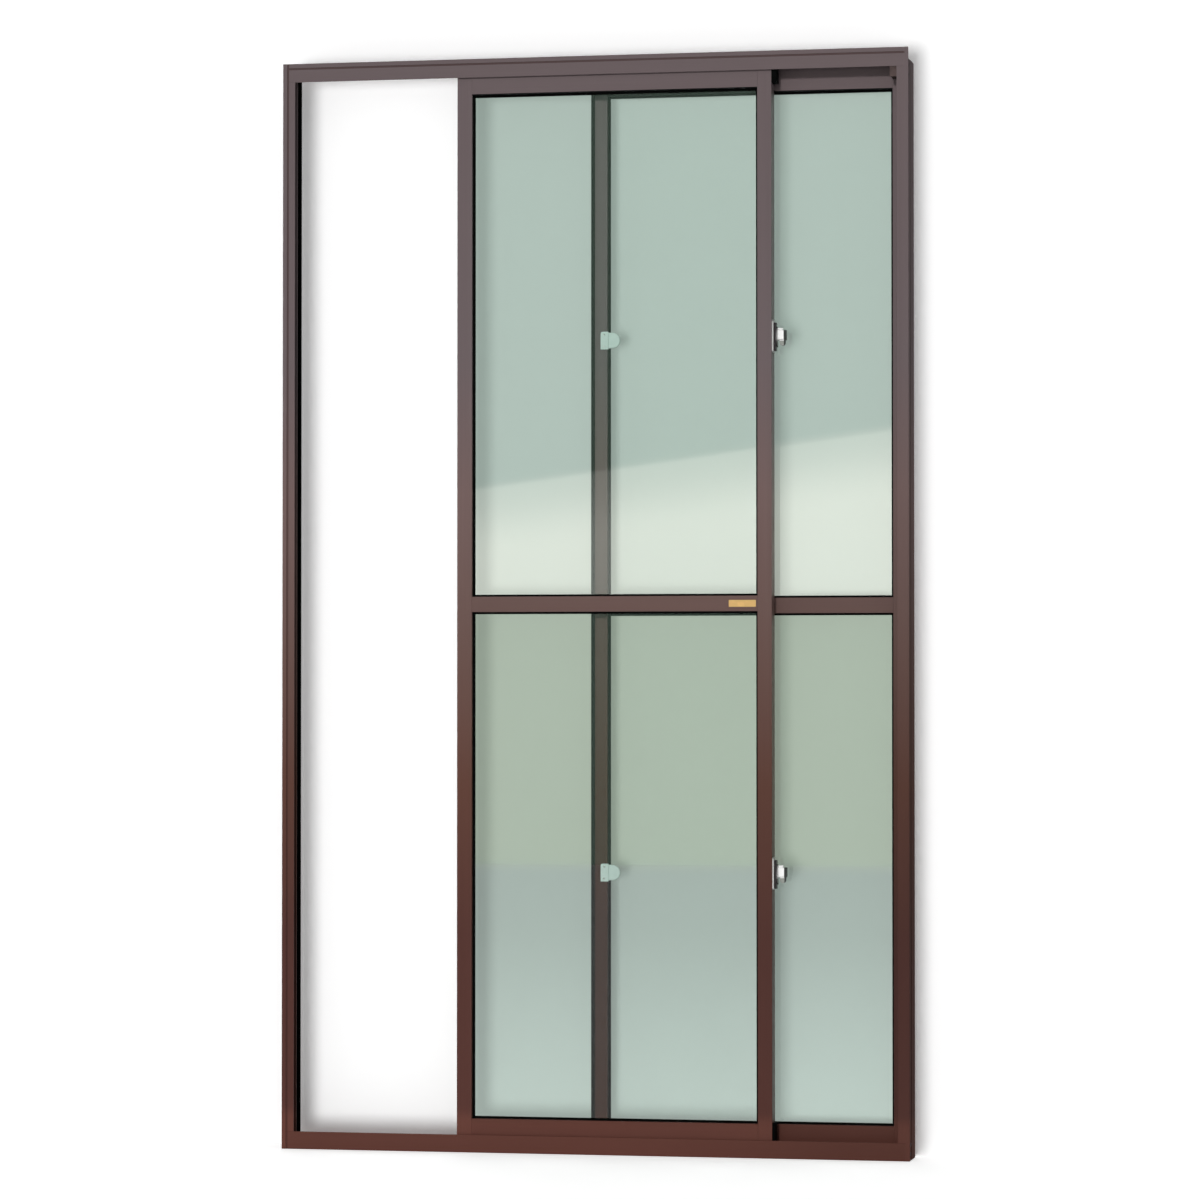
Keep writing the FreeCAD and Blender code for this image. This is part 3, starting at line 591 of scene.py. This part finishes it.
class PatioDoorSizes(bpy.types.PropertyGroup):
    """Sizes of the small pieces."""
    screw_segments: IntProperty(name="Screw segments", description="Sides of a screw head",
                                default=20, min=8, max=64)
    cross_width: FloatProperty(name="Cross width",
                               description="Half width of a recess arm over the radius",
                               default=0.16, min=0.05, max=0.4, subtype="FACTOR")
    latch_screw: FloatProperty(name="Latch screw", description="Head radius", default=0.00234,
                               min=0.001, max=0.006, unit="LENGTH")
    keeper_screw: FloatProperty(name="Keeper screw", description="Head radius", default=0.0022,
                                min=0.001, max=0.006, unit="LENGTH")
    frame_screw: FloatProperty(name="Frame screw", description="Head radius of the corner screws",
                               default=0.0038, min=0.002, max=0.008, unit="LENGTH")
    head_height: FloatProperty(name="Head height", description="How far a screw head stands proud",
                               default=0.0007, min=0.0002, max=0.003, unit="LENGTH")
    plate_thickness: FloatProperty(name="Latch plate",
                                   description="Thickness of the bright latch plate",
                                   default=0.003, min=0.001, max=0.006, unit="LENGTH")
    lever_dark_end: FloatProperty(name="Lever cap", description="Length of the lever's dark end",
                             default=0.0042, min=0.0, max=0.006, unit="LENGTH")
    crescent_disc: FloatProperty(name="Crescent disc",
                                 description="Thickness of the dark turning disc",
                                 default=0.0026, min=0.001, max=0.006, unit="LENGTH")
    # Length of the tab that carries the painted reflection
    reflected_lever_tab: FloatProperty(name="Lever tab", description="Length of the levers' grey tab",
                             default=0.0125, min=0.0, max=0.03, unit="LENGTH")
    fibre_step: FloatProperty(name="Fibre step",
                              description="Distance between tufts of the brush strip",
                              default=0.0026, min=0.001, max=0.02, unit="LENGTH")
    fibre_reach: FloatProperty(name="Fibre reach",
                               description="How far the tufts pass the plain pile",
                               default=0.0004, min=0.0, max=0.002, unit="LENGTH")


class PatioDoorStudio(bpy.types.PropertyGroup):
    """Camera, lamps and backdrop."""
    yaw: FloatProperty(name="Yaw", description="Turn of the camera to the left",
                       default=math.radians(11.17), subtype="ANGLE")
    pitch: FloatProperty(name="Pitch", description="Upward tilt of the camera",
                         default=math.radians(1.22), subtype="ANGLE")
    position: FloatVectorProperty(name="Position", description="Place of the camera",
                                  default=(1.648, -8.301, 0.878), subtype="TRANSLATION",
                                  unit="LENGTH")
    lens: FloatProperty(name="Lens",
                        description="Focal length in millimetres", default=132.36, min=20)
    wall_behind: FloatProperty(name="Wall behind",
                               description="Gap between the frame and the backdrop",
                               default=0.018, min=0.001, unit="LENGTH")
    front_sun: FloatProperty(name="Front lamp",
                             description="Strength of the lamp on the door's room side",
                             default=2.05, min=0)
    sheet_sun: FloatProperty(name="Sheet lamp",
                             description="Strength of the lamp on the floor and backdrop",
                             default=1.76, min=0)
    rear_sun: FloatProperty(name="Rear lamp",
                            description="Strength of the lamp behind", default=1.1, min=0)
    room_light: FloatProperty(name="Room light", description="Level of the all-round light",
                              default=0.36, min=0)


class PatioDoorSettings(bpy.types.PropertyGroup):
    """Everything that a user would change."""
    colours: PointerProperty(type=PatioDoorColours)
    sizes: PointerProperty(type=PatioDoorSizes)
    studio: PointerProperty(type=PatioDoorStudio)


def settings():
    return bpy.context.scene.patio_door


# Operators

class PATIODOOR_OT_finish_frame(bpy.types.Operator):
    """Gives the head, sill and jambs their anodised finish"""
    bl_idname = "patio_door.finish_frame"
    bl_label = "Finish the Frame"

    def execute(self, context):
        # Painted shade: the sill and right jamb darken towards the right, and the jambs' feet are
        # set lighter or darker
        cover(bronze("bronze_head_piece", "x"), "frame_head")
        cover(bronze("bronze_sill_piece", "x", right_level=0.76), "frame_sill")
        cover(bronze("bronze_left_jamb", "z", 1.1), "frame_jamb_left")
        # Painted sheen: the right jamb has no gloss, and a flat grey stands in for it
        right = bronze("bronze_right_jamb", "z", 0.86, 0.84, metallic=0.12, specular=0.0,
                       painted_sheen=0.0075)
        cover(right, "frame_jamb_right")
        return {"FINISHED"}


class PATIODOOR_OT_finish_leaves(bpy.types.Operator):
    """Gives the stiles, rails and interlock their anodised finish"""
    bl_idname = "patio_door.finish_leaves"
    bl_label = "Finish the Leaves"

    def execute(self, context):
        # Painted shade: the rear leaf darkens towards its foot, and the front leaf's jamb stile is
        # lighter there
        for leaf, foot_shade in zip(LEAVES, LEAF_FOOT_SHADES):
            upright = bronze(f"bronze_{leaf}_upright", "z", foot_shade)
            cover(upright, f"{leaf}_jamb_stile", f"{leaf}_meeting_stile")
            level = bronze(f"bronze_{leaf}_level", "x", foot_shade)
            cover(level, f"{leaf}_middle_rail", f"{leaf}_bottom_rail")
            under = low(f"{leaf}_top_rail").z
            top = bronze(f"bronze_{leaf}_top", "x", foot_shade, edge=under)
            cover(top, f"{leaf}_top_rail")
        outer = bronze("bronze_front_leaf_jamb_stile", "z", JAMB_STILE_FOOT_SHADE)
        cover(outer, "front_leaf_jamb_stile")
        cover(bronze("bronze_interlock", "z"), "front_leaf_interlock")
        return {"FINISHED"}


class PATIODOOR_OT_glaze(bpy.types.Operator):
    """Gives the panes their glass and the gaskets, seals and guides their rubber"""
    bl_idname = "patio_door.glaze"
    bl_label = "Glaze and Seal"

    def execute(self, context):
        look = settings().colours
        glass = pale_green_glass()
        rubber = black_rubber("black_rubber", tuple(look.rubber))
        for leaf in LEAVES:
            for light in ("upper", "lower"):
                cover(glass, f"{leaf}_{light}_glass")
                NODES[f"{leaf}_{light}_glass"].visible_shadow = False
                cover(rubber, f"{leaf}_{light}_gasket")
        cover(rubber, "left_jamb_seal", "left_jamb_bumper", "front_leaf_head_cap",
              "front_leaf_sill_cap")
        cover(black_rubber("brown_rubber", tuple(look.stop)), "right_stop_block")
        return {"FINISHED"}


class PATIODOOR_OT_finish_wheels(bpy.types.Operator):
    """Gives the wheels and their carriers nylon and zinc"""
    bl_idname = "patio_door.finish_wheels"
    bl_label = "Finish the Wheels"

    def execute(self, context):
        nylon = white_nylon()
        zinc = zinc_plate("zinc_carrier", tuple(settings().colours.zinc))
        for leaf in LEAVES:
            for side in ("left", "right"):
                cover(nylon, f"{leaf}_{side}_roller")
                cover(zinc, f"{leaf}_{side}_roller_carrier")
        return {"FINISHED"}


class PATIODOOR_OT_finish_latches(bpy.types.Operator):
    """Gives the latches, keepers and bare plate their metals"""
    bl_idname = "patio_door.finish_latches"
    bl_label = "Finish the Latches"

    def execute(self, context):
        plate = latch_plate_finish()
        chrome = latch_chrome()
        nickel = satin_nickel()
        for latch in LATCHES:
            cover(plate, f"{latch}_latch_plate")
            cover(chrome, f"{latch}_latch_crescent")
            cover(nickel, f"{latch}_keeper")
        cover(bare_gold(), "front_leaf_bare_plate")
        return {"FINISHED"}


class PATIODOOR_OT_brush_strip(bpy.types.Operator):
    """Stands rows of tufts in the brush strip between the leaves"""
    bl_idname = "patio_door.brush_strip"
    bl_label = "Fill the Brush Strip"

    def execute(self, context):
        step = settings().sizes.fibre_step
        reach = settings().sizes.fibre_reach
        pile = brush_pile()
        cover(pile, "rear_leaf_pile_strip")
        corner, far = low("rear_leaf_pile_strip"), high("rear_leaf_pile_strip")
        length = (far.y - corner.y) * 0.5
        mesh = bmesh.new()
        for row in range(PILE_ROWS):
            share = PILE_FIRST_ROW + PILE_SPAN * row / (PILE_ROWS - 1)
            x = corner.x + (far.x - corner.x) * share
            for index in range(int((far.z - corner.z) / step)):
                lean = math.sin(index * 2.4 + row * 1.7) * step * 0.35
                z = corner.z + (index + 0.5 + 0.25 * (row % 2)) * step
                tip = corner.y - reach * (0.55 + 0.45 * math.sin(index * 5.1 + row))
                place = Vector((x, tip + length / 2, z + lean))
                bmesh.ops.create_cone(mesh, cap_ends=False, segments=3, radius1=step * 0.45,
                                      radius2=step * 0.16, depth=length,
                                      matrix=Matrix.Translation(place) @ upright_to(-AXES["y"]))
        new_piece("rear_brush_tufts", mesh, pile, "rear_leaf")
        return {"FINISHED"}


class PATIODOOR_OT_latch_screws(bpy.types.Operator):
    """Screws each latch plate to the stile and each keeper to the rear leaf"""
    bl_idname = "patio_door.latch_screws"
    bl_label = "Fit the Latch Screws"

    def execute(self, context):
        sizes = settings().sizes
        steel = zinc_plate("bright_screws", tuple(settings().colours.chrome), 0.22)
        for latch in LATCHES:
            first, last = low(f"{latch}_latch_plate"), high(f"{latch}_latch_plate")
            x = first.x + sizes.plate_thickness
            y = (first.y + last.y) / 2
            mesh = bmesh.new()
            for z in (last.z - PLATE_SCREW_FROM_END, first.z + PLATE_SCREW_FROM_END):
                add_screw(mesh, Vector((x, y, z)), AXES["x"], sizes.latch_screw,
                          sizes.head_height)
            new_piece(f"{latch}_latch_plate_screws", mesh, steel, "front_leaf")
            first, last = low(f"{latch}_keeper"), high(f"{latch}_keeper")
            x = first.x + KEEPER_SCREW_FROM_EDGE
            mesh = bmesh.new()
            for z in (last.z - KEEPER_SCREW_FROM_END, first.z + KEEPER_SCREW_FROM_END):
                add_screw(mesh, Vector((x, first.y, z)), -AXES["y"], sizes.keeper_screw,
                          sizes.head_height)
            new_piece(f"{latch}_keeper_screws", mesh, steel, "rear_leaf")
        return {"FINISHED"}


class PATIODOOR_OT_frame_screws(bpy.types.Operator):
    """Screws the jambs to the head and sill, sunk in the jambs' outer recess"""
    bl_idname = "patio_door.frame_screws"
    bl_label = "Fit the Frame Screws"

    def execute(self, context):
        radius = settings().sizes.frame_screw
        steel = zinc_plate("browned_screws", shades(settings().colours.bronze_head, 0.6), 0.4)
        top = high("left_jamb_bumper").z
        heights = [*CORNER_SCREWS_FROM_END,
                   *(top - gap for gap in reversed(CORNER_SCREWS_FROM_END))]
        for side, node in ((-1, "frame_jamb_left"), (1, "frame_jamb_right")):
            edge = low(node).x if side < 0 else high(node).x
            mesh = bmesh.new()
            for z in heights:
                place = Vector((edge - side * JAMB_RECESS, CORNER_SCREW_Y, z))
                add_screw(mesh, place, AXES["x"] * side, radius, JAMB_RECESS * 0.9)
            name = "left" if side < 0 else "right"
            new_piece(f"{name}_jamb_corner_screws", mesh, steel, "frame")
        return {"FINISHED"}


class PATIODOOR_OT_build_stage(bpy.types.Operator):
    """Builds the floor, the backdrop, the lamps and the camera"""
    bl_idname = "patio_door.build_stage"
    bl_label = "Build the Stage"

    def execute(self, context):
        studio = settings().studio
        floor = add_floor()
        backdrop = add_backdrop()
        add_reflected_window()
        add_world()
        stage = collected("stage_light", backdrop, floor)
        add_sun("sheet_lamp", studio.sheet_sun, *SHEET_LIGHT, stage)
        around = collected("all_but_the_stage", backdrop, floor)
        for item in around.collection_objects:
            item.light_linking.link_state = "EXCLUDE"
        add_sun("front_lamp", studio.front_sun, *FRONT_LIGHT, around)
        add_sun("rear_lamp", studio.rear_sun, *REAR_LIGHT)
        add_camera()
        context.scene.view_settings.view_transform = "Standard"
        return {"FINISHED"}


# Stage

def stage_plane(name, corners, material):
    mesh = bmesh.new()
    bmesh.ops.create_grid(mesh, x_segments=1, y_segments=1, size=0.5)
    for vert, corner in zip(sorted(mesh.verts, key=lambda v: (v.co.y, v.co.x)), corners):
        vert.co = corner
    data = bpy.data.meshes.new(name)
    mesh.to_mesh(data)
    mesh.free()
    data.materials.append(material)
    plane = bpy.data.objects.new(name, data)
    bpy.context.scene.collection.objects.link(plane)
    return plane


def ray_kinds(s):
    """Kinds of ray as numbers of 0 or 1; a ray through clear glass counts as glossy too."""
    names = ("Is Camera Ray", "Is Glossy Ray", "Is Transmission Ray", "Is Singular Ray")
    kinds = {name: s.node("ShaderNodeLightPath", output=name) for name in names}
    kinds["mirrored"] = kinds["Is Glossy Ray"] * (1.0 - kinds["Is Transmission Ray"])
    return kinds


def painted_reflection_band(s, x, z):
    """Painted reflection band: 0 above its slanted upper edge, about a half just under it, and 1
    further down.
    """
    under = z - BAND_Z - (x - BAND_X) * BAND_SLOPE
    band = s.rise(under, -0.014, 0.01, 0.45, 0.0) + s.rise(under, -0.14, 0.0, 0.55, 0.0)
    return band * s.rise(z, *BAND_FOOT)


def outdoor_tone(s, kinds, x, z):
    """White, but pale daylight for what shows through one pane or two, at the same level."""
    look = settings().colours
    stops = [(share, shades(getattr(look, tone), level)) for share, tone, level in DAYLIGHT]
    daylight = s.node("ShaderNodeValToRGB", {"stops": stops}, {0: z / FRAME_TOP})
    # Painted reflection: a window's bright band mixed into what shows through the upper panes
    daylight = s.mix(painted_reflection_band(s, x, z), daylight, tuple(look.painted_reflection_band))
    depth = s.node("ShaderNodeLightPath", output="Transmission Depth")
    two_panes = s.rise(depth, 2.4, 2.6)
    one_pane = tuple(1.0 / (channel * 0.95) for channel in look.glass)
    made_up = s.mix(1.0, daylight, one_pane, "MULTIPLY")
    daylight = s.mix(two_panes, daylight, made_up)
    return s.mix(kinds["Is Transmission Ray"], tuple(look.backdrop), daylight)


def add_backdrop():
    """Pale sheet close behind the door; it takes its shadow and shows only from the room side."""
    studio = settings().studio
    y = CAD_BOX[1][1] + studio.wall_behind
    s = finish("backdrop_sheet")
    _, x, _, z = s.place()
    kinds = ray_kinds(s)
    tone = outdoor_tone(s, kinds, x, z)
    through = kinds["Is Transmission Ray"]
    strength = SHEET_GLOW + through * GLOW_THROUGH_PANE
    glow = s.node("ShaderNodeEmission", inputs={"Color": tone, "Strength": strength})
    taken = s.mix(1.0, tone, s.grey(1.0 - through * LIGHT_LOST_THROUGH_PANE), "MULTIPLY")
    lit = s.node("ShaderNodeBsdfDiffuse", inputs={"Color": taken})
    sheet = s.node("ShaderNodeAddShader", inputs={0: glow, 1: lit})
    clear = s.node("ShaderNodeBsdfTransparent")
    behind = s.node("ShaderNodeNewGeometry", output="Backfacing")
    both = s.node("ShaderNodeMixShader", inputs={0: behind, 1: sheet, 2: clear})
    s.node("ShaderNodeOutputMaterial", inputs={"Surface": both})
    corners = [(-6, y, 0), (6, y, 0), (-6, y, 6), (6, y, 6)]
    sheet = stage_plane("backdrop", corners, s.owner)
    sheet.visible_diffuse = False
    sheet.visible_glossy = False
    sheet.visible_shadow = False
    return sheet


def add_floor():
    """Pale floor that keeps a faint contact shadow."""
    s = finish("pale_floor")
    _, x, _, z = s.place()
    kinds = ray_kinds(s)
    tone = outdoor_tone(s, kinds, x, z)
    strength = FLOOR_GLOW + kinds["Is Camera Ray"] * FLOOR_GLOW_SEEN
    glow = s.node("ShaderNodeEmission", inputs={"Color": tone, "Strength": strength})
    lit = s.node("ShaderNodeBsdfDiffuse", inputs={"Color": tone})
    both = s.node("ShaderNodeAddShader", inputs={0: glow, 1: lit})
    s.node("ShaderNodeOutputMaterial", inputs={"Surface": both})
    corners = [(-12, -14, 0), (12, -14, 0), (-12, 12, 0), (12, 12, 0)]
    floor = stage_plane("floor", corners, s.owner)
    floor.visible_shadow = False
    return floor


def add_reflected_window():
    """Bright window behind the camera that only mirrors, at the foot of the upper panes."""
    s = finish("window_glow")
    _, x, _, z = s.place()
    edge = z - (x - WINDOW_EDGE_X) * WINDOW_SLOPE
    first, second = (s.rise(edge, *fade, WINDOW_GLOW, 0.0) for fade in WINDOW_FADES)
    glow = s.node("ShaderNodeEmission",
                  inputs={"Color": (1.0, 1.0, 0.95, 1.0), "Strength": first + second})
    clear = s.node("ShaderNodeBsdfTransparent")
    both = s.node("ShaderNodeAddShader", inputs={0: glow, 1: clear})
    s.node("ShaderNodeOutputMaterial", inputs={"Surface": both})
    corners = [(x, WINDOW_Y, z) for z in (WINDOW_LOW, WINDOW_HIGH)
               for x in (WINDOW_LEFT, WINDOW_RIGHT)]
    window = stage_plane("window_behind_camera", corners, s.owner)
    window.visible_camera = False
    window.visible_diffuse = False
    window.visible_shadow = False
    window.visible_transmission = False


def add_world():
    """White behind the door, a dimmer room in front, and a plain level for the light."""
    look = settings().colours
    studio = settings().studio
    world = bpy.data.worlds.new("studio")
    bpy.context.scene.world = world
    s = Shading(world)
    kinds = ray_kinds(s)
    direction = s.node("ShaderNodeTexCoord", output="Generated")
    y = s.node("ShaderNodeSeparateXYZ", inputs={0: direction}, output="Y")
    room = s.rise(y, -0.25, 0.15, *ROOM_LEVELS)
    seen = kinds["Is Camera Ray"] + kinds["Is Transmission Ray"]
    level = studio.room_light + seen * (1.0 - studio.room_light)
    in_glass = kinds["mirrored"] * kinds["Is Singular Ray"]
    level = level + kinds["mirrored"] * (room - studio.room_light) + in_glass * (1.0 - room)
    tone = s.mix(kinds["Is Transmission Ray"], tuple(look.backdrop), tuple(look.outdoors))
    tone = s.mix(in_glass, tone, tuple(look.room_in_glass))
    sky = s.node("ShaderNodeBackground", inputs={"Color": tone, "Strength": level})
    s.node("ShaderNodeOutputWorld", inputs={"Surface": sky})


def collected(name, *members):
    """A collection that only tells a lamp what it lights."""
    group = bpy.data.collections.new(name)
    for member in members:
        group.objects.link(member)
    return group


def add_sun(name, strength, direction, spread, lit=None):
    lamp = bpy.data.lights.new(name, "SUN")
    lamp.energy = strength
    lamp.angle = math.radians(spread)
    sun = bpy.data.objects.new(name, lamp)
    sun.rotation_euler = Vector((0, 0, -1)).rotation_difference(Vector(direction)).to_euler()
    sun.visible_glossy = False
    sun.visible_transmission = False
    if lit:
        sun.light_linking.receiver_collection = lit
    bpy.context.scene.collection.objects.link(sun)


def add_camera():
    studio = settings().studio
    lens = bpy.data.cameras.new("camera")
    lens.lens = studio.lens
    lens.sensor_width = 36.0
    lens.clip_end = 60.0
    camera = bpy.data.objects.new("camera", lens)
    camera.location = studio.position
    camera.rotation_euler = (math.pi / 2 + studio.pitch, 0.0, studio.yaw)
    bpy.context.scene.collection.objects.link(camera)
    bpy.context.scene.camera = camera


class PATIODOOR_PT_sidebar(bpy.types.Panel):
    """Lists the steps and what a user may change"""
    bl_idname = "PATIODOOR_PT_sidebar"
    bl_label = "Patio Door"
    bl_space_type = "VIEW_3D"
    bl_region_type = "UI"
    bl_category = "Patio Door"

    def draw(self, context):
        layout = self.layout
        for step in STEPS:
            layout.operator(step.bl_idname)
        for group in (settings().colours, settings().sizes, settings().studio):
            box = layout.box()
            for name in group.bl_rna.properties.keys():
                if name not in {"rna_type", "name"}:
                    box.prop(group, name)


GROUPS = (PatioDoorColours, PatioDoorSizes, PatioDoorStudio, PatioDoorSettings)
STEPS = (PATIODOOR_OT_build_stage, PATIODOOR_OT_finish_frame, PATIODOOR_OT_finish_leaves,
         PATIODOOR_OT_glaze, PATIODOOR_OT_finish_wheels, PATIODOOR_OT_finish_latches,
         PATIODOOR_OT_brush_strip, PATIODOOR_OT_latch_screws, PATIODOOR_OT_frame_screws)


def register():
    for item in (*GROUPS, *STEPS, PATIODOOR_PT_sidebar):
        bpy.utils.register_class(item)
    bpy.types.Scene.patio_door = PointerProperty(type=PatioDoorSettings)


def unregister():
    del bpy.types.Scene.patio_door
    for item in reversed((*GROUPS, *STEPS, PATIODOOR_PT_sidebar)):
        bpy.utils.unregister_class(item)


def main():
    register()
    bpy.ops.patio_door.build_stage()
    bpy.ops.patio_door.finish_frame()
    bpy.ops.patio_door.finish_leaves()
    bpy.ops.patio_door.glaze()
    bpy.ops.patio_door.finish_wheels()
    bpy.ops.patio_door.finish_latches()
    bpy.ops.patio_door.brush_strip()
    bpy.ops.patio_door.latch_screws()
    bpy.ops.patio_door.frame_screws()


if __name__ == "__main__":
    main()
